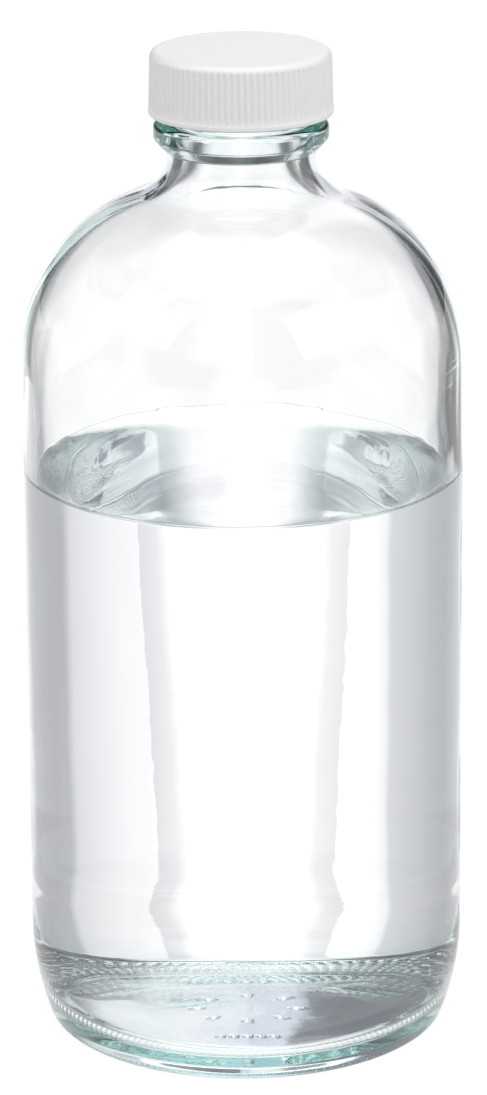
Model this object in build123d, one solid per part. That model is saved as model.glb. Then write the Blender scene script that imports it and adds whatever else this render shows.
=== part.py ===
from build123d import *

import os
from math import acos, asin, atan2, cos, degrees, radians, sin, sqrt

# Boston round reagent bottle, 16 oz (480 ml), with a 28-400 screw cap, its two-layer liner and its
# liquid. Millimetres. +Z is up, the bottle's axis is Z and its base rests on Z = 0.

# Bottle body
BODY_RADIUS = 37.5
WALL = 2.2
LIP_Z = 168.8
SHOULDER_Z = 118.65  # where the straight wall ends and the round shoulder starts
SHOULDER_RADIUS = 29.0
NECK_RADIUS = 12.4
NECK_FILLET = 7.7
BORE_RADIUS = 8.8
BORE_TOP_Z = LIP_Z - 4.0  # where the straight bore starts, under the lip

# Base: a bearing ring to stand on, a heel that rounds into the wall, and a punt inside the ring
HEEL_Z = 16.8
HEEL_RADIUS = 45.0
HEEL_CORNER = 1.2
RING_INNER_RADIUS = 24.5
PUNT_RADIUS = 22.6
PUNT_STEP = 0.9
PUNT_RISE = 1.5
FLOOR_Z = 3.2  # inside floor, where it meets the inner corner
FLOOR_RISE = 1.3
INNER_CORNER = 9.0  # rounds the floor into the inner heel
DOT_COUNT = 8  # raised dots on the underside, in a ring
DOT_RING_RADIUS = 6.2
DOT_RADIUS = 0.55

# Screw finish, 28 mm, one turn of thread, 6 threads to the inch
FINISH_RADIUS = 12.5
THREAD_PITCH = 25.4 / 6
THREAD_CREST = 13.7
THREAD_TOP_Z = 166.4  # centre of the ridge at its upper end
THREAD_TURNS = 1.0
THREAD_ROOT_HALF = 1.15
THREAD_CREST_HALF = 0.45
THREAD_STEPS_PER_TURN = 24
THREAD_FADE_DEG = 40.0  # a ridge sinks into its wall over this turn, at both ends
THREAD_END_SHARE = 0.15  # what is left of its full height at the very end
THREAD_BURY = 0.3  # how far a ridge's root goes into its wall, so that the two fuse
LIP_OUTER_ROUND = 1.0
LIP_INNER_ROUND = 0.8

# Transfer bead under the thread
BEAD_TOP_Z = 159.0
BEAD_RADIUS = 14.75
BEAD_FACE_BOTTOM_Z = 156.2
BEAD_SLOPE_RADIUS = 13.2
BEAD_BOTTOM_Z = 154.4
BEAD_ROUNDS = [0.35, 0.4, 1.0, 1.1, 0.5]  # from the neck under the bead up to the finish above it

# Cap and liner
CAP_BOTTOM_Z = 160.25
CAP_TOP_Z = 171.0
CAP_TOP_THICKNESS = 1.2
CAP_RIM_RADIUS = 15.55
CAP_RIM_HEIGHT = 1.1
CAP_LOW_RADIUS = 15.45  # over the ribs, just above the rim
CAP_HIGH_RADIUS = 15.2  # over the ribs, just under the top rounding
CAP_ROUND = 1.2
CAP_RIM_SLOPE = 0.3  # height over which the rim band runs in to the ribs
CAP_RIM_ROUNDS = [0.05, 0.2, 0.35]  # from the ribs down to the rim's lower edge
CAP_MOUTH_CHAMFER = 0.3
CAP_BORE_RADIUS = 14.05
RIB_COUNT = 88
RIB_DEPTH = 0.24
RIB_GROOVE_WIDTH = 0.72
CAP_THREAD_CREST = 12.85
CAP_THREAD_ROOT_HALF = 1.0
CAP_THREAD_CREST_HALF = 0.4
CAP_THREAD_DROP = 1.45  # the cap's ridge runs this far under the bottle's
CAP_THREAD_BOTTOM_Z = 161.55
RETAINER_RADIUS = 0.4
RETAINER_GAP = 0.05  # under the liner
LINER_RADIUS = 13.7
LINER_FACE_THICKNESS = 0.2
LINER_BACK_THICKNESS = 0.8

# Liquid
FILL_Z = 97.5
MENISCUS = 1.6

INNER_RADIUS = BODY_RADIUS - WALL
SHOULDER_CENTRE_R = BODY_RADIUS - SHOULDER_RADIUS
FILLET_CENTRE_R = NECK_RADIUS + NECK_FILLET
INNER_SHOULDER = SHOULDER_RADIUS - WALL
INNER_FILLET = FILLET_CENTRE_R - BORE_RADIUS
THREAD_BOTTOM_Z = THREAD_TOP_Z - THREAD_PITCH * THREAD_TURNS
LINER_BOTTOM_Z = LIP_Z


def arc_between(centre, radius, start_deg, end_deg):
    """Circle arc about a centre, from one angle to another, in degrees."""
    return CenterArc(centre, radius, start_deg, end_deg - start_deg)


def shoulder_and_neck(shoulder_radius, fillet_radius):
    """The round shoulder and the hollow fillet that turns it up into the neck, and the fillet's top Z."""
    across = FILLET_CENTRE_R - SHOULDER_CENTRE_R
    reach = shoulder_radius + fillet_radius
    fillet_z = SHOULDER_Z + sqrt(reach**2 - across**2)
    turn = degrees(acos(across / reach))
    shoulder = arc_between((SHOULDER_CENTRE_R, SHOULDER_Z), shoulder_radius, 0, turn)
    fillet = arc_between((FILLET_CENTRE_R, fillet_z), fillet_radius, turn + 180, 180)
    return shoulder, fillet, fillet_z


def dome_arc(edge, centre_z):
    """Shallow arc from a rim point to the axis, level where it meets the axis."""
    edge_r, edge_z = edge
    rise = centre_z - edge_z
    radius = (edge_r**2 + rise**2) / (2 * rise)
    half_angle = degrees(asin(edge_r / radius))
    return arc_between((0, centre_z - radius), radius, 90 - half_angle, 90)


def heel(low_z, corner_radius, long_radius):
    """Corner turning up from a level, the long heel arc above it, and the radius where the corner starts."""
    long_centre_r = BODY_RADIUS - HEEL_RADIUS
    reach = long_radius - corner_radius
    rise = HEEL_Z - low_z - corner_radius
    start_r = long_centre_r + sqrt(reach**2 - rise**2)
    turn = -degrees(asin(rise / reach))
    corner = arc_between((start_r, low_z + corner_radius), corner_radius, -90, turn)
    long_arc = arc_between((long_centre_r, HEEL_Z), long_radius, turn, 0)
    return corner, long_arc, start_r


def finish_outline(neck_top_z):
    """Neck, transfer bead, finish wall and lip, from the neck fillet round to the bore."""
    corners = [
        (NECK_RADIUS, neck_top_z),
        (NECK_RADIUS, BEAD_BOTTOM_Z),
        (BEAD_SLOPE_RADIUS, BEAD_BOTTOM_Z),
        (BEAD_RADIUS, BEAD_FACE_BOTTOM_Z),
        (BEAD_RADIUS, BEAD_TOP_Z),
        (FINISH_RADIUS, BEAD_TOP_Z),
        (FINISH_RADIUS, LIP_Z),
        (BORE_RADIUS, LIP_Z),
        (BORE_RADIUS, BORE_TOP_Z),
    ]
    return FilletPolyline(*corners, radius=[*BEAD_ROUNDS, LIP_OUTER_ROUND, LIP_INNER_ROUND])


def inner_outline():
    """Bore, inner shoulder, wall, inner heel and the inside floor, as edges from the lip down to the axis."""
    shoulder, fillet, fillet_z = shoulder_and_neck(INNER_SHOULDER, INNER_FILLET)
    corner, long_arc, floor_radius = heel(FLOOR_Z, INNER_CORNER, HEEL_RADIUS - WALL)
    return [
        Line((BORE_RADIUS, BORE_TOP_Z), (BORE_RADIUS, fillet_z)),
        fillet,
        shoulder,
        Line((INNER_RADIUS, SHOULDER_Z), (INNER_RADIUS, HEEL_Z)),
        long_arc,
        corner,
        dome_arc((floor_radius, FLOOR_Z), FLOOR_Z + FLOOR_RISE),
    ]


def punt_outline():
    """Underside inside the bearing ring: a short sloping step and a shallow dome up to the axis."""
    return [
        dome_arc((PUNT_RADIUS, PUNT_STEP), PUNT_STEP + PUNT_RISE),
        Line((PUNT_RADIUS, PUNT_STEP), (RING_INNER_RADIUS, 0)),
    ]


def turned(edges):
    """Solid of revolution about Z from edges that close a face, given in (radius, height)."""
    return revolve(Plane.XZ * make_face(edges), Axis.Z)


def thread_section(angle_deg, z, root_r, crest_r, root_half, crest_half):
    """One four-sided section of a ridge, in the half plane at that angle."""
    a = radians(angle_deg)
    half_plane = Plane(origin=(0, 0, 0), x_dir=(cos(a), sin(a), 0), z_dir=(sin(a), -cos(a), 0))
    corners = [
        (root_r, z - root_half),
        (crest_r, z - crest_half),
        (crest_r, z + crest_half),
        (root_r, z + root_half),
    ]
    return half_plane * make_face(Polyline(*corners, close=True))


def thread_ridge(wall_r, crest_r, root_half, crest_half, start_deg, start_z, turns):
    """Right-hand ridge that sinks into its wall at both ends. The crest may be outside or inside the wall."""
    outward = 1 if crest_r > wall_r else -1
    root_r = wall_r - outward * THREAD_BURY
    steps = round(turns * THREAD_STEPS_PER_TURN)
    sections = []
    for i in range(steps + 1):
        turned_deg = 360 * turns * i / steps
        to_end = min(turned_deg, 360 * turns - turned_deg)
        fade = min(1.0, to_end / THREAD_FADE_DEG)
        share = THREAD_END_SHARE + (1 - THREAD_END_SHARE) * sin(fade * radians(90))
        height = (crest_r - root_r) * share
        z = start_z + THREAD_PITCH * turned_deg / 360
        section = thread_section(
            start_deg + turned_deg, z, root_r, root_r + height, root_half, crest_half
        )
        sections.append(section)
    return loft(sections)


def glass_bottle():
    """The blown glass bottle: body, punt, neck, bead and threaded finish in one piece of glass."""
    corner, long_arc, ring_outer = heel(0, HEEL_CORNER, HEEL_RADIUS)
    shoulder, fillet, fillet_z = shoulder_and_neck(SHOULDER_RADIUS, NECK_FILLET)
    outline = [
        *punt_outline(),
        Line((RING_INNER_RADIUS, 0), (ring_outer, 0)),
        corner,
        long_arc,
        Line((BODY_RADIUS, HEEL_Z), (BODY_RADIUS, SHOULDER_Z)),
        shoulder,
        fillet,
        finish_outline(fillet_z),
        *inner_outline(),
        Line((0, PUNT_STEP + PUNT_RISE), (0, FLOOR_Z + FLOOR_RISE)),
    ]
    ridge = thread_ridge(
        FINISH_RADIUS,
        THREAD_CREST,
        THREAD_ROOT_HALF,
        THREAD_CREST_HALF,
        start_deg=0,
        start_z=THREAD_BOTTOM_Z,
        turns=THREAD_TURNS,
    )
    dot_z = PUNT_STEP + PUNT_RISE - DOT_RING_RADIUS**2 * PUNT_RISE / PUNT_RADIUS**2
    dots = PolarLocations(DOT_RING_RADIUS, DOT_COUNT) * (Pos(0, 0, dot_z) * Sphere(DOT_RADIUS))
    return turned(outline) + ridge + dots


def liquid():
    """The liquid: it fills the inside up to the fill line and climbs a little at the wall."""
    wall, long_arc, corner, floor = inner_outline()[3:]
    top = FILL_Z + MENISCUS
    outline = [
        Line((0, FLOOR_Z + FLOOR_RISE), (0, FILL_Z)),
        Line((0, FILL_Z), (INNER_RADIUS - MENISCUS, FILL_Z)),
        arc_between((INNER_RADIUS - MENISCUS, top), MENISCUS, -90, 0),
        Line((INNER_RADIUS, top), wall @ 1),
        long_arc,
        corner,
        floor,
    ]
    return turned(outline)


def cap_shell():
    """The cap without its ribs and thread: top, tapered skirt, rim band and the bore."""
    rim_top = CAP_BOTTOM_Z + CAP_RIM_HEIGHT
    mouth_r = CAP_BORE_RADIUS + CAP_MOUTH_CHAMFER
    mouth_z = CAP_BOTTOM_Z + CAP_MOUTH_CHAMFER
    outer = FilletPolyline(
        (0, CAP_TOP_Z),
        (CAP_HIGH_RADIUS, CAP_TOP_Z),
        (CAP_LOW_RADIUS, rim_top),
        (CAP_RIM_RADIUS, rim_top - CAP_RIM_SLOPE),
        (CAP_RIM_RADIUS, CAP_BOTTOM_Z),
        (mouth_r, CAP_BOTTOM_Z),
        radius=[CAP_ROUND, *CAP_RIM_ROUNDS],
    )
    ceiling = CAP_TOP_Z - CAP_TOP_THICKNESS
    retainer_z = LINER_BOTTOM_Z - RETAINER_RADIUS - RETAINER_GAP
    outline = [
        outer,
        Line((mouth_r, CAP_BOTTOM_Z), (CAP_BORE_RADIUS, mouth_z)),
        Line((CAP_BORE_RADIUS, mouth_z), (CAP_BORE_RADIUS, retainer_z - RETAINER_RADIUS)),
        arc_between((CAP_BORE_RADIUS, retainer_z), RETAINER_RADIUS, -90, -270),
        Line((CAP_BORE_RADIUS, retainer_z + RETAINER_RADIUS), (CAP_BORE_RADIUS, ceiling)),
        Line((CAP_BORE_RADIUS, ceiling), (0, ceiling)),
        Line((0, ceiling), (0, CAP_TOP_Z)),
    ]
    return turned(outline)


def rib_grooves():
    """The grooves between the cap's ribs: V cuts that lean in with the skirt's taper."""
    low_z = CAP_BOTTOM_Z + CAP_RIM_HEIGHT + CAP_RIM_SLOPE
    high_z = CAP_TOP_Z - CAP_ROUND
    skirt_height = CAP_TOP_Z - CAP_BOTTOM_Z - CAP_RIM_HEIGHT
    lean = degrees(atan2(CAP_LOW_RADIUS - CAP_HIGH_RADIUS, skirt_height))
    middle_z = (low_z + high_z) / 2
    middle_r = (CAP_LOW_RADIUS + CAP_HIGH_RADIUS) / 2
    outside = middle_r + RIB_DEPTH
    corners = [(middle_r - RIB_DEPTH, 0), (outside, RIB_GROOVE_WIDTH), (outside, -RIB_GROOVE_WIDTH)]
    section = make_face(Polyline(*corners, close=True))
    groove = Pos(-middle_r, 0, 0) * extrude(section, (high_z - low_z) / 2, both=True)
    groove = Pos(middle_r, 0, middle_z) * Rot(0, -lean, 0) * groove
    return PolarLocations(0, RIB_COUNT) * groove


def screw_cap():
    """The moulded cap: ribbed skirt, liner retainer and one turn of internal thread."""
    start_deg = 360 * (CAP_THREAD_BOTTOM_Z + CAP_THREAD_DROP - THREAD_BOTTOM_Z) / THREAD_PITCH
    ridge = thread_ridge(
        CAP_BORE_RADIUS,
        CAP_THREAD_CREST,
        CAP_THREAD_ROOT_HALF,
        CAP_THREAD_CREST_HALF,
        start_deg=start_deg,
        start_z=CAP_THREAD_BOTTOM_Z,
        turns=THREAD_TURNS,
    )
    return cap_shell() - rib_grooves() + ridge


def disc(radius, low_z, thickness):
    """Flat disc centred on the axis, given the height of its underside."""
    return Pos(0, 0, low_z + thickness / 2) * Cylinder(radius, thickness)


def main():
    face_top = LINER_BOTTOM_Z + LINER_FACE_THICKNESS
    parts = {
        "glass_bottle": glass_bottle(),
        "liquid": liquid(),
        "screw_cap": screw_cap(),
        "liner_face": disc(LINER_RADIUS, LINER_BOTTOM_Z, LINER_FACE_THICKNESS),
        "liner_backing": disc(LINER_RADIUS, face_top, LINER_BACK_THICKNESS),
    }
    os.makedirs("parts", exist_ok=True)
    for name, shape in parts.items():
        export_step(shape, f"parts/{name}.step")


main()
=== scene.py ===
import math

import bpy
import numpy as np
from mathutils import Matrix, Vector


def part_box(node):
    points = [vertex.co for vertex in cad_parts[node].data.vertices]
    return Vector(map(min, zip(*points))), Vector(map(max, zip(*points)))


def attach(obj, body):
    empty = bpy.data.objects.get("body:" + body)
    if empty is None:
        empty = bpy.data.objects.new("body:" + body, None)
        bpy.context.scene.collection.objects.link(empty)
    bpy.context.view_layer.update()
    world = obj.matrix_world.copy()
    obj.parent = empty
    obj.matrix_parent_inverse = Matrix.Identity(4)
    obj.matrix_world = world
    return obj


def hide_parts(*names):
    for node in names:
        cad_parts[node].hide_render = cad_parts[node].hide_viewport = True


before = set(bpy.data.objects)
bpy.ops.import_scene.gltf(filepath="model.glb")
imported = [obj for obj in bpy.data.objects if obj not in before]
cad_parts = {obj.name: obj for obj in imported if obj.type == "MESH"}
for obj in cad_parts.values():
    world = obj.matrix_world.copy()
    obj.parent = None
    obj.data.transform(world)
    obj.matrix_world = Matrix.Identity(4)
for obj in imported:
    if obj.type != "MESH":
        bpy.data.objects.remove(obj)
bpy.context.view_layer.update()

MM = 0.001
FULL_TURN = 2 * math.pi
SAME_POINT = 1e-4
TOLERANCE = 1e-6
RANDOM_SEED = 7

# The CAD sizes that the frame gives, in millimetres
BOTTLE_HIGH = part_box("glass_bottle")[1] / MM
CAP_LOW, CAP_HIGH = (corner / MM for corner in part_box("screw_cap"))
LIQUID_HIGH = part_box("liquid")[1] / MM
BODY_RADIUS = BOTTLE_HIGH.x
LIP_Z = BOTTLE_HIGH.z
CAP_TOP_Z = CAP_HIGH.z
CAP_BOTTOM_Z = CAP_LOW.z
CAP_RIM_RADIUS = CAP_HIGH.x
INNER_RADIUS = LIQUID_HIGH.x
CONTACT_Z = LIQUID_HIGH.z  # where the liquid meets the glass

# The rest of the bottle's outline, as the CAD model has it, in millimetres
WALL = BODY_RADIUS - INNER_RADIUS
SHOULDER_Z = 118.65
SHOULDER_RADIUS = 29.0
NECK_RADIUS = 12.4
NECK_FILLET = 7.7
BORE_RADIUS = 8.8
HEEL_Z = 16.8
HEEL_RADIUS = 45.0
HEEL_CORNER = 1.2
RING_INNER_RADIUS = 24.5
RING_ROOM = 3.0  # a run along the ring, so that its inner edge can be rounded
RING_ROUND = 0.6
RING_OUTER_RADIUS = 33.0
PUNT_RADIUS = 22.6
PUNT_STEP = 0.9
PUNT_RISE = 1.5
FLOOR_Z = 3.2
FLOOR_RISE = 1.3
INNER_CORNER = 9.0
FINISH_RADIUS = 12.5
FINISH_FOOT_Z = 160.2
BEAD_TOP_Z = 159.0
BEAD_RADIUS = 14.75
BEAD_FACE_BOTTOM_Z = 156.2
BEAD_SLOPE_RADIUS = 13.2
BEAD_BOTTOM_Z = 154.4
BEAD_ROUNDS = [0.5, 0.6, 1.0, 1.1, 0.5]  # from the neck up to the finish
LIP_ROUNDS = [1.0, 0.8]  # outside, inside
LIP_FOOT_Z = LIP_Z - 1.1
BORE_TOP_Z = LIP_Z - 4

# Liquid
MENISCUS = 1.6
MENISCUS_REACH = 1.7  # how fast the meniscus falls off from the wall
SURFACE_EDGE = 9.0  # the width of the surface that follows the uneven wall
SURFACE_RINGS = 24
SURFACE_CROWDING = 1.8  # above one, the rings crowd towards the wall
SURFACE_MIDDLE = (20, 4)  # outermost and innermost radius of the plain rings
LIQUID_OVERLAP = 0.06  # how far the liquid reaches into the glass
LIQUID_EDGE = 0.2  # the height at its edge where the rings are close

# Thread
PITCH = 25.4 / 6
THREAD_CREST = 13.7
THREAD_TOP_Z = 166.4
THREAD_BOTTOM_Z = THREAD_TOP_Z - PITCH
THREAD_HALVES = (1.15, 0.45)  # half the ridge's height at its root and at its crest
THREAD_FADE = math.radians(40)

# Cap
CAP_ROUND = 1.2
CAP_RIM_TOP_Z = CAP_BOTTOM_Z + 1.1
CAP_RIM_SLOPE = 0.3
CAP_RIM_ROUNDS = [0.35, 0.2, 0.05]
CAP_LOW_RADIUS = 15.45
CAP_HIGH_RADIUS = 15.2
CAP_BORE_RADIUS = 14.05
CAP_CEILING_Z = CAP_TOP_Z - 1.2
CAP_CEILING = (3, 13.9)  # innermost and outermost radius of its rings
CAP_FLAT = (12, 2)  # outermost and innermost radius of the top's rings
CAP_FLAT_RADIUS = CAP_HIGH_RADIUS - 2
CAP_RIM_FOOT_RADIUS = CAP_BORE_RADIUS + 0.35
CAP_RIM_CHAMFER = [(CAP_BORE_RADIUS + 0.05, CAP_BOTTOM_Z + 0.25), (CAP_BORE_RADIUS + 0.3, CAP_BOTTOM_Z)]
CAP_WALL_FOOT_Z = CAP_BOTTOM_Z + 0.45
CAP_LONGEST_RUN = 0.6
CAP_THREAD_CREST = 12.85
CAP_THREAD_DROP = 1.45
CAP_THREAD_BOTTOM_Z = 161.55
CAP_THREAD_HALVES = (1.0, 0.4)
RETAINER_RADIUS = 0.4
RETAINER_Z = LIP_Z - RETAINER_RADIUS - 0.05
RETAINER_GAP = 0.1  # left above the thread's wall
SEAT_TOP_Z = CAP_CEILING_Z - 0.1
RIB_COUNT = 88
RIB_DEPTH = 0.24
RIB_COLUMNS = 8
RIB_GROOVE_SHARE = 0.36  # half a groove's width, as a share of the ribs' pitch
RIB_GROOVE_SHAPE = 0.6  # below one, the grooves are fuller than a half round
RIB_TOP_Z = CAP_TOP_Z - CAP_ROUND * 0.8
RIB_TOP_FADE = 0.45
RIB_FOOT_Z = CAP_RIM_TOP_Z + 0.05
RIB_FOOT_FADE = 0.35

# Unevenness of the glass. A fade is its start, its length, its end and the length before its end.
RIPPLE_DIVISOR = 1.5  # keeps nearly all of a ripple between -1 and 1
LEAN = 0.28  # the wall's extra thickness on one side
LEAN_SIDE = math.radians(-20)
WALL_WAVE_HEIGHT = 0.16
WALL_WAVES = dict(waves=24, turns_high=9, length_low=45, length_high=220)
WALL_RIPPLE_HEIGHT = 0.02
WALL_RIPPLES = dict(waves=30, turns_high=26, length_low=12, length_high=60)
WALL_FADE = (FLOOR_Z, 8, 158, 20)
MOULD_WAVE_HEIGHT = 0.025
MOULD_WAVES = dict(waves=24, turns_high=12, length_low=30, length_high=150)
MOULD_FADE = (2, 6, 152, 8)
SEAM_HEIGHT = 0.03
SEAM_HALF_WIDTH = 0.03  # in radians
SEAM_SIDES = (math.radians(-8), math.radians(172))
PUNT_WAVE_HEIGHT = 0.006
PUNT_WAVES = 14
PUNT_WAVES_ACROSS = (20, 60)  # the shortest and the longest
PUNT_WAVES_ALONG = (9, 30)
PUNT_FADE_LENGTH = 5

# Stipple of the bearing ring
STIPPLE_PITCH = 1.2
STIPPLE_COUNT = 152
STIPPLE_DEPTH = 0.3
STIPPLE_FADE = (RING_INNER_RADIUS + RING_ROUND, 0.6, 32.8, 0.5)

# Raised dots under the base
DOT_RADIUS = 0.95
DOT_HEIGHT = 0.8
DOT_RING_RADIUS = 6.2
DOT_RING_COUNT = 8
DOT_ROW_Y = 15.5
DOT_PITCH = 1.9

COLUMNS = 256
BASE_COLUMNS = 1024
BASE_LONGEST_RUN = 0.7
CAP_COLUMNS = RIB_COUNT * RIB_COLUMNS


# Outlines: lists of (radius, height) in millimetres


def line(start, end, steps=1):
    """Points from start to end, both included."""
    t = np.linspace(0, 1, steps + 1)[:, None]
    return np.array(start) * (1 - t) + np.array(end) * t


def upright_line(r, start_z, end_z, steps):
    return line((r, start_z), (r, end_z), steps)


def level_line(radii, z, steps):
    """From the first radius to the second, at one height."""
    return line((radii[0], z), (radii[1], z), steps)


def arc(centre, radius, start_deg, end_deg, steps):
    angle = np.radians(np.linspace(start_deg, end_deg, steps + 1))
    return np.array(centre) + radius * np.column_stack([np.cos(angle), np.sin(angle)])


def rounded(corners, radii, steps=5):
    """The corners joined by straight runs, each inner corner rounded off by its own radius."""
    points = [np.array([corners[0]], float)]
    for before, corner, after, radius in zip(corners, corners[1:], corners[2:], radii):
        corner = np.array(corner, float)
        back = np.array(before) - corner
        ahead = np.array(after) - corner
        back = back / np.linalg.norm(back)
        ahead = ahead / np.linalg.norm(ahead)
        half = math.acos(np.clip(back @ ahead, -1, 1)) / 2
        reach = radius / math.tan(half)
        middle = (back + ahead) / np.linalg.norm(back + ahead)
        centre = corner + middle * radius / math.sin(half)
        start = corner + back * reach - centre
        end = corner + ahead * reach - centre
        turn = math.atan2(start[0] * end[1] - start[1] * end[0], start @ end)
        angle = math.atan2(start[1], start[0]) + np.linspace(0, turn, steps + 1)
        points.append(centre + radius * np.column_stack([np.cos(angle), np.sin(angle)]))
    points.append(np.array([corners[-1]], float))
    return np.vstack(points)


def joined(*runs):
    """One outline from runs laid end to end, with repeated points dropped."""
    points = np.vstack(runs)
    step = np.linalg.norm(np.diff(points, axis=0), axis=1)
    return points[np.concatenate([[True], step > SAME_POINT])]


def subdivided(points, longest):
    """The same outline with long runs cut into pieces no longer than that."""
    result = [points[:1]]
    for start, end in zip(points, points[1:]):
        steps = max(1, math.ceil(np.linalg.norm(end - start) / longest))
        result.append(line(start, end, steps)[1:])
    return np.vstack(result)


def dome(edge, centre_z, steps):
    """A shallow arc from a rim point to the axis."""
    edge_r, edge_z = edge
    rise = centre_z - edge_z
    radius = (edge_r**2 + rise**2) / (2 * rise)
    half = math.degrees(math.asin(edge_r / radius))
    return arc((0, centre_z - radius), radius, 90 - half, 90, steps)


def shoulder_and_neck(shoulder_radius, fillet_radius, steps):
    """The shoulder arc from the straight wall, and the neck fillet that it runs into."""
    centre_r = BODY_RADIUS - SHOULDER_RADIUS
    fillet_r = NECK_RADIUS + NECK_FILLET
    reach = shoulder_radius + fillet_radius
    fillet_z = SHOULDER_Z + math.sqrt(reach**2 - (fillet_r - centre_r) ** 2)
    turn = math.degrees(math.acos((fillet_r - centre_r) / reach))
    shoulder = arc((centre_r, SHOULDER_Z), shoulder_radius, 0, turn, steps)
    fillet = arc((fillet_r, fillet_z), fillet_radius, turn + 180, 180, steps // 2)
    return joined(shoulder, fillet)


def underside():
    """From the axis out to the bearing ring."""
    centre = dome((PUNT_RADIUS, PUNT_STEP), PUNT_STEP + PUNT_RISE, steps=14)[::-1]
    ring = (RING_INNER_RADIUS + RING_ROOM, 0)
    step = rounded([(PUNT_RADIUS, PUNT_STEP), (RING_INNER_RADIUS, 0), ring], [RING_ROUND], steps=4)
    return joined(centre, step)


def heel(low_z, corner_radius, long_radius, corner_steps):
    """From a level, round a corner and up the long heel arc to the straight wall."""
    centre_r = BODY_RADIUS - HEEL_RADIUS
    reach = long_radius - corner_radius
    rise = HEEL_Z - low_z - corner_radius
    start_r = centre_r + math.sqrt(reach**2 - rise**2)
    turn = -math.degrees(math.asin(rise / reach))
    corner = arc((start_r, low_z + corner_radius), corner_radius, -90, turn, corner_steps)
    return joined(corner, arc((centre_r, HEEL_Z), long_radius, turn, 0, steps=24))


def neck_and_bead(fillet_top):
    """From the neck fillet's top, over the transfer bead, to the foot of the finish."""
    corners = [
        fillet_top,
        (NECK_RADIUS, BEAD_BOTTOM_Z),
        (BEAD_SLOPE_RADIUS, BEAD_BOTTOM_Z),
        (BEAD_RADIUS, BEAD_FACE_BOTTOM_Z),
        (BEAD_RADIUS, BEAD_TOP_Z),
        (FINISH_RADIUS, BEAD_TOP_Z),
        (FINISH_RADIUS, FINISH_FOOT_Z),
    ]
    return rounded(corners, BEAD_ROUNDS, steps=7)


def finish_and_lip():
    """The threaded wall and the lip, down to the bore."""
    wall = upright_line(FINISH_RADIUS, FINISH_FOOT_Z, LIP_FOOT_Z, steps=56)
    corners = [
        (FINISH_RADIUS, LIP_FOOT_Z),
        (FINISH_RADIUS, LIP_Z),
        (BORE_RADIUS, LIP_Z),
        (BORE_RADIUS, BORE_TOP_Z),
    ]
    return joined(wall, rounded(corners, LIP_ROUNDS, steps=7))


def inner_outline():
    """From the bore down the inside to the middle of the floor, with close rings at the liquid's edge."""
    inner_fillet = NECK_RADIUS + NECK_FILLET - BORE_RADIUS
    shoulder = shoulder_and_neck(SHOULDER_RADIUS - WALL, inner_fillet, steps=26)[::-1]
    inner_heel = heel(FLOOR_Z, INNER_CORNER, HEEL_RADIUS - WALL, corner_steps=18)[::-1]
    under_edge_z = CONTACT_Z - LIQUID_EDGE
    return joined(
        line((BORE_RADIUS, BORE_TOP_Z), shoulder[0], steps=6),
        shoulder,
        upright_line(INNER_RADIUS, SHOULDER_Z, CONTACT_Z, steps=8),
        upright_line(INNER_RADIUS, CONTACT_Z, under_edge_z, steps=4),
        upright_line(INNER_RADIUS, under_edge_z, HEEL_Z, steps=32),
        inner_heel,
        dome(inner_heel[-1], FLOOR_Z + FLOOR_RISE, steps=12),
    )


def cap_outside():
    """From the rim's lower edge, up the skirt and round the top edge."""
    corners = [
        (CAP_RIM_FOOT_RADIUS, CAP_BOTTOM_Z),
        (CAP_RIM_RADIUS, CAP_BOTTOM_Z),
        (CAP_RIM_RADIUS, CAP_RIM_TOP_Z - CAP_RIM_SLOPE),
        (CAP_LOW_RADIUS, CAP_RIM_TOP_Z),
        (CAP_HIGH_RADIUS, CAP_TOP_Z),
        (CAP_FLAT_RADIUS, CAP_TOP_Z),
    ]
    return subdivided(rounded(corners, CAP_RIM_ROUNDS + [CAP_ROUND], steps=6), CAP_LONGEST_RUN)


# Surface relief: how far the surface is pushed along its normal, in millimetres


def smooth_step(t):
    t = np.clip(t, 0, 1)
    return t * t * (3 - 2 * t)


def bump(distance, half_width):
    """One at no distance, falling smoothly to zero at half_width."""
    return smooth_step(1 - np.abs(distance) / half_width)


def faded(value, start, start_length, end, end_length):
    """One from start to end, falling smoothly to zero at each over its own length."""
    return smooth_step((value - start) / start_length) * smooth_step((end - value) / end_length)


def angle_between(a, b):
    return (a - b + math.pi) % FULL_TURN - math.pi


def ripple(angle, z, seed, waves, turns_high, length_low, length_high):
    """Soft random waves round and along the wall, mostly between -1 and 1."""
    random = np.random.default_rng(seed)
    total = np.zeros(np.broadcast(angle, z).shape)
    for _ in range(waves):
        turns = random.integers(1, turns_high + 1)
        length = random.uniform(length_low, length_high)
        phase = random.uniform(0, FULL_TURN, 2)
        total += np.cos(turns * angle + phase[0]) * np.cos(FULL_TURN * z / length + phase[1])
    return total / math.sqrt(waves) / RIPPLE_DIVISOR


def thread_height(angle, z, bottom_z, root_half, crest_half):
    """Share of a ridge's full height at each point, for a thread of one turn that starts at angle 0."""
    total = np.zeros(np.broadcast(angle, z).shape)
    turned = np.mod(angle, FULL_TURN)
    for lap in (-1, 0, 1):
        along = turned + lap * FULL_TURN
        centre = bottom_z + PITCH * along / FULL_TURN
        fade = np.clip(np.minimum(along, FULL_TURN - along) / THREAD_FADE, 0, 1)
        side = (root_half - np.abs(z - centre)) / (root_half - crest_half)
        total = np.maximum(total, smooth_step(side) * np.sin(fade * math.pi / 2))
    return total


def neck_thread(angle, r, z):
    """The ridge round the finish. The bore, inside it, stays plain."""
    if r < NECK_RADIUS:
        return np.zeros(angle.shape)
    return thread_height(angle, z, THREAD_BOTTOM_Z, *THREAD_HALVES) * (THREAD_CREST - FINISH_RADIUS)


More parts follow.
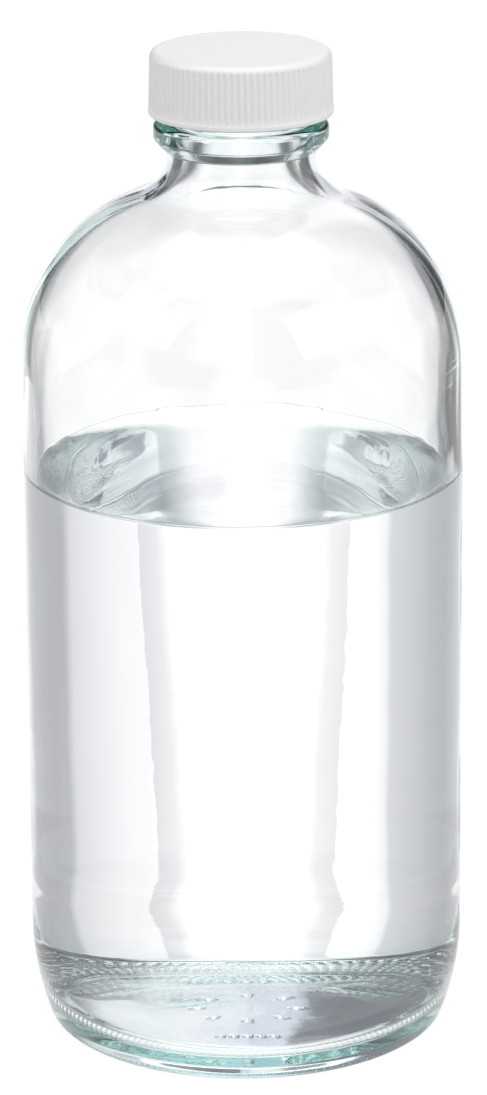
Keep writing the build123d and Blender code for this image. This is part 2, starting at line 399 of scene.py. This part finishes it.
def cap_thread(angle, r, z):
    """The ridge inside the cap, turned so that it runs just under the neck's."""
    start = FULL_TURN * (CAP_THREAD_BOTTOM_Z + CAP_THREAD_DROP - THREAD_BOTTOM_Z) / PITCH
    ridge = thread_height(angle - start, z, CAP_THREAD_BOTTOM_Z, *CAP_THREAD_HALVES)
    return ridge * (CAP_BORE_RADIUS - CAP_THREAD_CREST)


def ribs(angle, r, z):
    """Rounded grooves up the skirt, that stop at the rim band and at the top edge."""
    phase = np.mod(angle * RIB_COUNT / FULL_TURN, 1) - 0.5
    groove = np.clip(1 - (phase / RIB_GROOVE_SHARE) ** 2, 0, 1) ** RIB_GROOVE_SHAPE
    upper = np.sqrt(np.clip((RIB_TOP_Z - z) / RIB_TOP_FADE, 0, 1))
    lower = smooth_step((z - RIB_FOOT_Z) / RIB_FOOT_FADE)
    return -RIB_DEPTH * groove * upper * lower


def inner_relief(angle, z):
    """Uneven thickness of the blown wall: one side thicker, and waves. Fades out at the bore and floor."""
    one_side = LEAN * np.cos(angle - LEAN_SIDE)
    waves = WALL_WAVE_HEIGHT * ripple(angle, z, RANDOM_SEED, **WALL_WAVES)
    fine = WALL_RIPPLE_HEIGHT * ripple(angle, z, RANDOM_SEED + 1, **WALL_RIPPLES)
    return faded(z, *WALL_FADE) * (one_side + waves + fine)


def outer_relief(angle, z):
    """The mould's slight unevenness, and two faint seams."""
    waves = MOULD_WAVE_HEIGHT * (ripple(angle, z, RANDOM_SEED + 2, **MOULD_WAVES) - 1)
    seam = sum(bump(angle_between(angle, side), SEAM_HALF_WIDTH) for side in SEAM_SIDES)
    return (waves + SEAM_HEIGHT * seam) * faded(z, *MOULD_FADE)


def stipple(angle, r):
    """Small pits all round the bearing ring, so that it stands on many points."""
    row = (r - RING_INNER_RADIUS) / STIPPLE_PITCH
    along = np.cos(FULL_TURN * row)
    across = np.cos(angle * STIPPLE_COUNT + math.pi * np.floor(row + 0.5))
    return -STIPPLE_DEPTH * faded(r, *STIPPLE_FADE) * (1 - 0.5 * (1 + along * across))


def base_marks(x, y):
    """Raised dots on the underside: a ring, a row of five at the front and one of three at the back."""
    round_ring = np.arange(DOT_RING_COUNT) * FULL_TURN / DOT_RING_COUNT
    places = [(DOT_RING_RADIUS * math.cos(a), DOT_RING_RADIUS * math.sin(a)) for a in round_ring]
    places += [(step * DOT_PITCH, -DOT_ROW_Y) for step in (-2, -1, 0, 1, 2)]
    places += [(step * DOT_PITCH, DOT_ROW_Y) for step in (-1, 0, 1)]
    total = np.zeros(x.shape)
    for dot_x, dot_y in places:
        total = np.maximum(total, bump(np.hypot(x - dot_x, y - dot_y), DOT_RADIUS))
    return DOT_HEIGHT * total


def base_waves(x, y):
    """The punt's slight unevenness: low waves that run across it, fading out at its rim."""
    random = np.random.default_rng(RANDOM_SEED + 3)
    total = np.zeros(x.shape)
    for _ in range(PUNT_WAVES):
        across = FULL_TURN / random.uniform(*PUNT_WAVES_ACROSS)
        along = FULL_TURN / random.uniform(*PUNT_WAVES_ALONG)
        side = random.choice([-1, 1])
        phase = random.uniform(0, FULL_TURN)
        total += np.cos(side * across * x + along * y + phase) / along
    fade = smooth_step((PUNT_RADIUS - np.hypot(x, y)) / PUNT_FADE_LENGTH)
    return PUNT_WAVE_HEIGHT * total * fade


def base_relief(angle, r, z):
    x = r * np.cos(angle)
    y = r * np.sin(angle)
    return base_marks(x, y) + base_waves(x, y)


# Meshes


def normals_of(outline):
    """The outline's own normal at each point, on its right when walked from the base up the outside."""
    ahead = np.gradient(outline, axis=0)
    ahead /= np.linalg.norm(ahead, axis=1)[:, None]
    return np.column_stack([ahead[:, 1], -ahead[:, 0]])


def link(piece):
    bpy.context.scene.collection.objects.link(piece)


class Lathe:
    """Builds one closed mesh from rings round the Z axis, walked from pole to pole."""

    def __init__(self):
        self.points = []
        self.faces = []
        self.last = None

    def pole(self, z):
        self._add(np.array([[0, 0, z]]))

    def outline(self, outline, columns, relief=None, outward=None):
        """Adds a ring for each outline point. relief(angle, r, z) pushes it along the outline's normal,
        and outward(angle, r) straight away from the axis."""
        normals = normals_of(outline)
        angle = FULL_TURN * np.arange(columns) / columns
        for (r, z), normal in zip(outline, normals):
            push = relief(angle, r, z) if relief else 0.0
            ring_r = r + push * normal[0]
            if outward:
                ring_r = ring_r + outward(angle, r)
            ring_z = z + push * normal[1] + np.zeros(columns)
            self._add(np.column_stack([ring_r * np.cos(angle), ring_r * np.sin(angle), ring_z]))

    def _add(self, ring):
        start = sum(len(p) for p in self.points)
        self.points.append(ring)
        now = (start, len(ring))
        if self.last:
            self._join(self.last, now)
        self.last = now

    def _join(self, low, high):
        """Faces between two rings. One ring may have a whole number of times the other's points."""
        columns = min(n for n in (low[1], high[1]) if n > 1)
        low_step = low[1] // columns
        high_step = high[1] // columns
        for i in range(columns):
            below = [low[0] + (i * low_step + k) % low[1] for k in range(low_step + 1)]
            above = [high[0] + (i * high_step + k) % high[1] for k in range(high_step + 1)]
            self.faces.append(below + above[::-1])

    def build(self, name):
        mesh = bpy.data.meshes.new(name)
        mesh.from_pydata(np.vstack(self.points) * MM, [], self.faces)
        mesh.validate()
        mesh.shade_smooth()
        piece = bpy.data.objects.new(name, mesh)
        link(piece)
        return piece


def make_bottle():
    """From under the middle, up the outside, over the lip and down the inside to the floor."""
    lathe = Lathe()
    lathe.pole(PUNT_STEP + PUNT_RISE)
    lathe.outline(subdivided(underside()[1:-1], BASE_LONGEST_RUN), BASE_COLUMNS, base_relief)
    ring = level_line((RING_INNER_RADIUS + RING_ROUND, RING_OUTER_RADIUS), 0, steps=34)
    lathe.outline(ring, BASE_COLUMNS, lambda angle, r, z: stipple(angle, r))
    heel_points = heel(0, HEEL_CORNER, HEEL_RADIUS, corner_steps=8)
    wall = upright_line(BODY_RADIUS, HEEL_Z, SHOULDER_Z, steps=40)
    shoulder = shoulder_and_neck(SHOULDER_RADIUS, NECK_FILLET, steps=36)
    outer = joined(heel_points, wall, shoulder)
    lathe.outline(outer, COLUMNS, lambda angle, r, z: outer_relief(angle, z))
    lathe.outline(neck_and_bead(shoulder[-1])[1:-1], COLUMNS)
    lathe.outline(finish_and_lip(), COLUMNS, neck_thread)
    lathe.outline(inner_outline()[1:-1], COLUMNS, lambda angle, r, z: inner_relief(angle, z))
    lathe.pole(FLOOR_Z + FLOOR_RISE)
    return lathe.build("bottle")


def make_liquid():
    """The sides reach a little way into the glass, and the surface curves up to meet it."""
    inside = inner_outline()[::-1]
    inside = inside[inside[:, 1] <= CONTACT_Z + TOLERANCE]
    fill_z = CONTACT_Z - MENISCUS
    lathe = Lathe()
    lathe.pole(FLOOR_Z + FLOOR_RISE - LIQUID_OVERLAP)
    lathe.outline(inside[1:], COLUMNS, lambda angle, r, z: LIQUID_OVERLAP - inner_relief(angle, z))
    side_faces = len(lathe.faces)
    away = SURFACE_EDGE * np.linspace(0, 1, SURFACE_RINGS + 1)[1:] ** SURFACE_CROWDING
    rise = MENISCUS * np.exp(-away / MENISCUS_REACH)
    surface = np.column_stack([INNER_RADIUS - away, fill_z + rise])

    def with_wall(angle, r):
        share = smooth_step((r - INNER_RADIUS + SURFACE_EDGE) / SURFACE_EDGE)
        return share * (LIQUID_OVERLAP - inner_relief(angle, CONTACT_Z))

    lathe.outline(surface, COLUMNS, outward=with_wall)
    lathe.outline(level_line(SURFACE_MIDDLE, fill_z, steps=4), COLUMNS // 4)
    lathe.pole(fill_z)
    piece = lathe.build("liquid_body")
    for name, mirrors in (("liquid_side", False), ("liquid_surface", True)):
        piece.data.materials.append(liquid_material(name, mirrors))
    for polygon in piece.data.polygons[side_faces:]:
        polygon.material_index = 1
    return piece


def make_cap():
    """From the middle of the ceiling, down the threaded inside, round the rim and up to the top."""
    inner_columns = CAP_COLUMNS // 4
    seat = upright_line(CAP_BORE_RADIUS, SEAT_TOP_Z, RETAINER_Z + RETAINER_RADIUS, steps=2)
    retainer = arc((CAP_BORE_RADIUS, RETAINER_Z), RETAINER_RADIUS, 90, 270, steps=8)
    wall_top_z = RETAINER_Z - RETAINER_RADIUS - RETAINER_GAP
    threaded_wall = upright_line(CAP_BORE_RADIUS, wall_top_z, CAP_WALL_FOOT_Z, steps=46)
    lathe = Lathe()
    lathe.pole(CAP_CEILING_Z)
    lathe.outline(level_line(CAP_CEILING, CAP_CEILING_Z, steps=3), inner_columns)
    lathe.outline(joined(seat, retainer), inner_columns)
    lathe.outline(threaded_wall, inner_columns, cap_thread)
    lathe.outline(np.array(CAP_RIM_CHAMFER), inner_columns)
    lathe.outline(cap_outside(), CAP_COLUMNS, ribs)
    lathe.outline(level_line(CAP_FLAT, CAP_TOP_Z, steps=5), CAP_COLUMNS // 8)
    lathe.pole(CAP_TOP_Z)
    return lathe.build("cap")


# Materials


GLASS_REFRACTION = 1.52
GLASS_TINT = (0.45, 0.83, 0.79, 1)
GLASS_ABSORPTION = 21.0
WATER_REFRACTION = 1.333


def new_material(name, colour, roughness):
    """A material with its shader's colour and roughness set, and the parts that more is added to."""
    material = bpy.data.materials.new(name)
    material.use_nodes = True
    nodes = material.node_tree.nodes
    shader = nodes["Principled BSDF"]
    shader.inputs["Base Color"].default_value = (*colour, 1)
    shader.inputs["Roughness"].default_value = roughness
    return material, nodes, material.node_tree.links, shader


def add_bump(nodes, links, shader, height, strength, distance):
    node = nodes.new("ShaderNodeBump")
    node.inputs["Strength"].default_value = strength
    node.inputs["Distance"].default_value = distance
    links.new(height, node.inputs["Height"])
    links.new(node.outputs["Normal"], shader.inputs["Normal"])


def object_noise(nodes, links, scale, detail, stretch=(1, 1, 1)):
    place = nodes.new("ShaderNodeTexCoord")
    mapping = nodes.new("ShaderNodeMapping")
    mapping.inputs["Scale"].default_value = stretch
    noise = nodes.new("ShaderNodeTexNoise")
    noise.inputs["Scale"].default_value = scale
    noise.inputs["Detail"].default_value = detail
    links.new(place.outputs["Object"], mapping.inputs["Vector"])
    links.new(mapping.outputs["Vector"], noise.inputs["Vector"])
    return noise.outputs["Fac"]


def make_clear(shader, refraction):
    shader.inputs["Transmission Weight"].default_value = 1.0
    shader.inputs["IOR"].default_value = refraction


def glass_material():
    """Clear glass that is teal where it is deep, with a faint unevenness drawn out up the wall."""
    material, nodes, links, shader = new_material("flint_glass", (1, 1, 1), 0.0)
    make_clear(shader, GLASS_REFRACTION)
    noise = object_noise(nodes, links, scale=90, detail=2, stretch=(1, 1, 0.35))
    add_bump(nodes, links, shader, noise, strength=0.12, distance=0.6 * MM)
    tint = nodes.new("ShaderNodeVolumeAbsorption")
    tint.inputs["Color"].default_value = GLASS_TINT
    tint.inputs["Density"].default_value = GLASS_ABSORPTION
    links.new(tint.outputs["Volume"], nodes["Material Output"].inputs["Volume"])
    return material


def liquid_material(name, mirrors):
    """Water. Only the free surface mirrors: the sides are wet glass, with no gap to reflect in."""
    material, _, _, shader = new_material(name, (1, 1, 1), 0.0)
    make_clear(shader, WATER_REFRACTION)
    if not mirrors:
        shader.inputs["Specular Tint"].default_value = (0, 0, 0, 1)
    return material


def grained_material(name, colour, roughness, scale, detail, strength):
    """A solid colour with a fine grain, 0.1 mm deep at most."""
    material, nodes, links, shader = new_material(name, colour, roughness)
    noise = object_noise(nodes, links, scale, detail)
    add_bump(nodes, links, shader, noise, strength, distance=0.1 * MM)
    return material


def cap_material():
    name = "white_polypropylene"
    colour = (0.58, 0.59, 0.585)
    return grained_material(name, colour, roughness=0.36, scale=2500, detail=2, strength=0.15)


def film_material():
    name = "liner_film"
    colour = (0.85, 0.85, 0.85)
    return grained_material(name, colour, roughness=0.3, scale=900, detail=3, strength=0.3)


def foam_material():
    name = "liner_foam"
    colour = (0.8, 0.8, 0.78)
    return grained_material(name, colour, roughness=0.8, scale=1800, detail=3, strength=0.3)


# Studio


def grey(value, cool=0.0):
    """A linear grey, bluer when cool is above nought, and warm enough to offset the thin wall's tint."""
    return (value * (1.03 - cool), value * (0.99 - cool / 3), value * (1 + cool))


WHITE = 1.2
ZENITH_SHADE = (1.5, 1.5, 1.5)

# Shades of the surroundings in each band of height: degrees from straight behind, and colour.
# In front of the bottle they repeat.
FLOOR = [
    (-90, grey(0.95)),
    (-70, grey(0.85)),
    (-58, (0.3, 0.36, 0.35)),
    (-50, (0.25, 0.31, 0.3)),
    (-36, (0.5, 0.55, 0.54)),
    (-20, grey(0.95)),
    (0, grey(1.0)),
    (20, grey(0.95)),
    (36, (0.5, 0.55, 0.54)),
    (50, (0.25, 0.31, 0.3)),
    (58, (0.3, 0.36, 0.35)),
    (70, grey(0.85)),
    (90, grey(0.95)),
]
TABLE_WALLS = [
    (-90, grey(0.95)),
    (-68, grey(0.85, 0.02)),
    (-60, grey(0.36, 0.05)),
    (-45, grey(0.35, 0.05)),
    (-30, grey(0.5, 0.04)),
    (-22.8, grey(0.6, 0.04)),
    (-22.2, grey(0.8, 0.01)),
    (-18, grey(0.97)),
    (0, grey(1.0)),
    (15, grey(0.88, 0.01)),
    (31, grey(0.62, 0.02)),
    (34, grey(0.38, 0.05)),
    (60, grey(0.32, 0.05)),
    (68, grey(0.85, 0.02)),
    (90, grey(0.95)),
]
EYE_WALLS = [
    (-90, grey(0.9)),
    (-52, grey(0.8, 0.01)),
    (-42, grey(0.1, 0.04)),
    (-23, grey(0.04, 0.04)),
    (-18, grey(0.16, 0.03)),
    (-14.5, grey(0.5, 0.02)),
    (-9, grey(0.88)),
    (0, grey(0.89)),
    (9, grey(0.88)),
    (14.5, grey(0.7, 0.02)),
    (18, grey(0.16, 0.03)),
    (23, grey(0.04, 0.04)),
    (42, grey(0.1, 0.04)),
    (52, grey(0.8, 0.01)),
    (90, grey(0.9)),
]
RAISED_WALLS = [
    (-90, grey(0.72)),
    (-58, grey(0.65)),
    (-48, grey(0.1, 0.04)),
    (-30, (0.07, 0.07, 0.08)),
    (-7.2, (0.1, 0.1, 0.12)),
    (-5.8, (0.62, 0.6, 0.7)),
    (0, (0.7, 0.67, 0.75)),
    (11, (0.76, 0.73, 0.77)),
    (15, (0.1, 0.1, 0.11)),
    (30, (0.07, 0.07, 0.08)),
    (48, grey(0.1, 0.04)),
    (58, grey(0.65)),
    (90, grey(0.72)),
]
UPPER_WALLS = [
    (-90, grey(0.72)),
    (-58, grey(0.65)),
    (-48, grey(0.2, 0.04)),
    (-30, (0.13, 0.125, 0.15)),
    (-7.2, (0.13, 0.125, 0.15)),
    (-5.8, (0.61, 0.59, 0.69)),
    (0, (0.72, 0.69, 0.78)),
    (8, (0.88, 0.84, 0.88)),
    (22, (0.84, 0.8, 0.83)),
    (30, grey(0.25, 0.04)),
    (48, grey(0.2, 0.04)),
    (58, grey(0.65)),
    (90, grey(0.72)),
]
# Painted shade across the strips' width: the bottle's shadow on the floor behind it, seen through the glass
SHADOW_STRIP_STOPS = [
    (0.3, (1, 1, 1)),
    (0.5, (0.82, 0.82, 0.83)),
    (0.8, (0.76, 0.76, 0.77)),
    (0.82, (1, 1, 1)),
]

# Where one band of height gives way to the next, as the height of a unit direction
FLOOR_TO_TABLE = (-0.62, -0.5)
TABLE_TO_EYE = (-0.293, -0.288)
EYE_TO_RAISED = (0.04, 0.14)
RAISED_TO_UPPER = (0.24, 0.34)
UPPER_TO_ZENITH = (0.82, 0.88)

# The painted shadow strips' place, as shares of half a turn from straight behind
STRIP_PLACE = 0.0555
STRIP_SLANT = 0.18
STRIP_FOOT = -0.37  # the height below which the strips stand upright
STRIP_RAG = 0.006
STRIP_EDGE = 0.082
STRIP_SHARPNESS = 20.0
STRIP_START = 0.8
STRIP_NOISE_STRETCH = (6, 6, 420)

FLOOR_HALF = 6.0
FLOOR_DROP = 0.02 * MM
FLOOR_COLOUR = (0.12, 0.12, 0.12)
FLOOR_GLOW = 0.92
# The places of the Mix node's colour sockets
MIX_LOW = 6
MIX_HIGH = 7
MIX_RESULT = 2

CLEAR_BOUNCES = 32
MIRROR_BOUNCES = 16

CAMERA_PLACE = (0, -0.8151, 0.3484)
CAMERA_TILT = 0.3018
CAMERA_ROLL = 0.0067
CAMERA_LENS = 164.4
CAMERA_SENSOR = 36.0
CAMERA_SHIFT = -0.0548
CAMERA_REACH = 50

# Name, place, aim, size, power in watts, and whether it is seen in reflections
LIGHTS = [
    ("softbox_top", (0.15, -0.35, 1.0), (0, 0, 0.17), (0.5, 0.5), 3.6, False),
    ("softbox_front", (0, -1.0, 0.5), (0, 0, 0.16), (0.5, 0.5), 1.2, False),
    ("softbox_right", (0.67, -0.53, 0.65), (0, 0, 0.13), (0.7, 0.55), 2.4, True),
    ("softbox_left", (-0.7, -0.39, 0.73), (0, 0, 0.13), (0.7, 0.55), 1.6, True),
]


def make_floor():
    """A pale floor just under the base. It isn't seen through the glass."""
    signs = ((-1, -1), (1, -1), (1, 1), (-1, 1))
    corners = [(x * FLOOR_HALF, y * FLOOR_HALF, 0) for x, y in signs]
    mesh = bpy.data.meshes.new("floor")
    mesh.from_pydata(corners, [], [(0, 1, 2, 3)])
    floor = bpy.data.objects.new("floor", mesh)
    link(floor)
    material, _, _, shader = new_material("studio_floor", FLOOR_COLOUR, 1.0)
    shader.inputs["Specular IOR Level"].default_value = 0.0
    shader.inputs["Emission Color"].default_value = (1, 1, 1, 1)
    shader.inputs["Emission Strength"].default_value = FLOOR_GLOW
    mesh.materials.append(material)
    floor.visible_transmission = False
    floor.location.z = -FLOOR_DROP


def connect(links, socket, value):
    """Sets a socket to a number or a colour, or links it to another node's output."""
    if isinstance(value, (int, float)):
        socket.default_value = value
    elif isinstance(value, tuple):
        socket.default_value = (*value, 1)
    else:
        links.new(value, socket)


def math_node(nodes, links, operation, *values):
    node = nodes.new("ShaderNodeMath")
    node.operation = operation
    for socket, value in zip(node.inputs, values):
        connect(links, socket, value)
    return node.outputs[0]


def ramp(nodes, links, value, stops):
    """A colour for each value, straight in between the stops."""
    node = nodes.new("ShaderNodeValToRGB")
    node.color_ramp.interpolation = "LINEAR"
    elements = node.color_ramp.elements
    while len(elements) < len(stops):
        elements.new(0.5)
    for element, (place, colour) in zip(elements, stops):
        element.position = place
        element.color = (*colour, 1)
    links.new(value, node.inputs["Fac"])
    return node.outputs["Color"]


def azimuth_ramp(nodes, links, share, stops):
    """Colour by azimuth. The stops are in degrees from straight behind, from -90 to 90, in rising order."""
    later = [(1 + degrees / 180, colour) for degrees, colour in stops if degrees < 0]
    first = [(degrees / 180, colour) for degrees, colour in stops if degrees >= 0]
    return ramp(nodes, links, share, first + later)


def mixed(nodes, links, factor, low, high, blend="MIX"):
    """Low where the factor is nought, high where it is one."""
    mix = nodes.new("ShaderNodeMix")
    mix.data_type = "RGBA"
    mix.blend_type = blend
    mix.clamp_result = False
    connect(links, mix.inputs["Factor"], factor)
    connect(links, mix.inputs[MIX_LOW], low)
    connect(links, mix.inputs[MIX_HIGH], high)
    return mix.outputs[MIX_RESULT]


def band(nodes, links, value, low, high):
    """Nought below low, one above high, straight in between."""
    node = nodes.new("ShaderNodeMapRange")
    node.inputs["From Min"].default_value = low
    node.inputs["From Max"].default_value = high
    links.new(value, node.inputs["Value"])
    return node.outputs["Result"]


def painted_shadow_strips(nodes, links, place, share, z):
    """Two pale grey uprights either side of the middle, soft on the inside and ragged on the outside:
    painted shade that stands in for the bottle's own shadow on the floor behind it, as seen through the
    glass, with the ragged edge of its caustic.
    """
    folded = math_node(nodes, links, "PINGPONG", share, 0.5)
    height = math_node(nodes, links, "MAXIMUM", z, STRIP_FOOT)
    slant = math_node(nodes, links, "MULTIPLY_ADD", height, -STRIP_SLANT, -STRIP_PLACE)
    ragged = nodes.new("ShaderNodeTexNoise")
    ragged.inputs["Scale"].default_value = 1.0
    mapping = nodes.new("ShaderNodeMapping")
    mapping.inputs["Scale"].default_value = STRIP_NOISE_STRETCH
    links.new(place.outputs["Generated"], mapping.inputs["Vector"])
    links.new(mapping.outputs["Vector"], ragged.inputs["Vector"])
    edge = math_node(nodes, links, "MULTIPLY_ADD", ragged.outputs["Fac"], STRIP_RAG, -STRIP_EDGE)
    inward = math_node(nodes, links, "ADD", folded, math_node(nodes, links, "ADD", slant, edge))
    spread = math_node(nodes, links, "MULTIPLY_ADD", inward, STRIP_SHARPNESS, STRIP_START)
    return ramp(nodes, links, spread, SHADOW_STRIP_STOPS)


def make_world():
    """A white studio with softly darker, blue-grey panels beside its white walls, in bands of height."""
    world = bpy.data.worlds.new("studio")
    bpy.context.scene.world = world
    world.use_nodes = True
    nodes = world.node_tree.nodes
    links = world.node_tree.links
    place = nodes.new("ShaderNodeTexCoord")
    split = nodes.new("ShaderNodeSeparateXYZ")
    links.new(place.outputs["Generated"], split.inputs[0])
    x, y, z = split.outputs
    around = math_node(nodes, links, "ARCTAN2", x, y)
    turned = math_node(nodes, links, "FLOORED_MODULO", around, math.pi)
    share = math_node(nodes, links, "DIVIDE", turned, math.pi)
    table = azimuth_ramp(nodes, links, share, TABLE_WALLS)
    # Painted shadow: the strips darken the table band where the bottle's own shadow on the floor behind
    # would be seen through the glass
    table = mixed(nodes, links, 1.0, table, painted_shadow_strips(nodes, links, place, share, z), "MULTIPLY")
    colour = azimuth_ramp(nodes, links, share, FLOOR)
    bands = [
        (FLOOR_TO_TABLE, table),
        (TABLE_TO_EYE, azimuth_ramp(nodes, links, share, EYE_WALLS)),
        (EYE_TO_RAISED, azimuth_ramp(nodes, links, share, RAISED_WALLS)),
        (RAISED_TO_UPPER, azimuth_ramp(nodes, links, share, UPPER_WALLS)),
        (UPPER_TO_ZENITH, ZENITH_SHADE),
    ]
    for (low, high), above in bands:
        colour = mixed(nodes, links, band(nodes, links, z, low, high), colour, above)
    seen = nodes.new("ShaderNodeLightPath")
    colour = mixed(nodes, links, seen.outputs["Is Camera Ray"], colour, (1.0, 1.0, 1.0))
    links.new(colour, nodes["Background"].inputs["Color"])
    nodes["Background"].inputs["Strength"].default_value = WHITE


def area_light(name, place, aim, size, power, glossy):
    data = bpy.data.lights.new(name, "AREA")
    data.shape = "RECTANGLE"
    data.size, data.size_y = size
    data.energy = power
    light = bpy.data.objects.new(name, data)
    link(light)
    turn = (Vector(place) - Vector(aim)).to_track_quat("Z", "Y")
    light.matrix_world = Matrix.Translation(place) @ turn.to_matrix().to_4x4()
    light.visible_transmission = False
    light.visible_glossy = glossy


def make_camera():
    """Looks down at the bottle from the front."""
    data = bpy.data.cameras.new("camera")
    data.sensor_width = CAMERA_SENSOR
    data.lens = CAMERA_LENS
    data.shift_y = CAMERA_SHIFT
    data.clip_end = CAMERA_REACH
    camera = bpy.data.objects.new("camera", data)
    link(camera)
    camera.matrix_world = (
        Matrix.Translation(CAMERA_PLACE)
        @ Matrix.Rotation(math.pi / 2 - CAMERA_TILT, 4, "X")
        @ Matrix.Rotation(-CAMERA_ROLL, 4, "Z")
    )
    bpy.context.scene.camera = camera


def set_light_paths(scene):
    """Enough bounces for light to pass all the walls of glass and the liquid."""
    scene.cycles.max_bounces = CLEAR_BOUNCES
    scene.cycles.transmission_bounces = CLEAR_BOUNCES
    scene.cycles.glossy_bounces = MIRROR_BOUNCES
    scene.cycles.sample_clamp_indirect = 0.0


make_camera()
make_floor()
make_world()
for light in LIGHTS:
    area_light(*light)

bottle = make_bottle()
bottle.data.materials.append(glass_material())
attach(bottle, "bottle")
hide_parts("glass_bottle")

liquid = make_liquid()
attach(liquid, "bottle")
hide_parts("liquid")

cap = make_cap()
cap.data.materials.append(cap_material())
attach(cap, "cap")
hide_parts("screw_cap")

for node, material in (("liner_face", film_material()), ("liner_backing", foam_material())):
    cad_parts[node].data.materials.clear()
    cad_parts[node].data.materials.append(material)

bpy.context.scene.view_settings.view_transform = "Standard"
set_light_paths(bpy.context.scene)
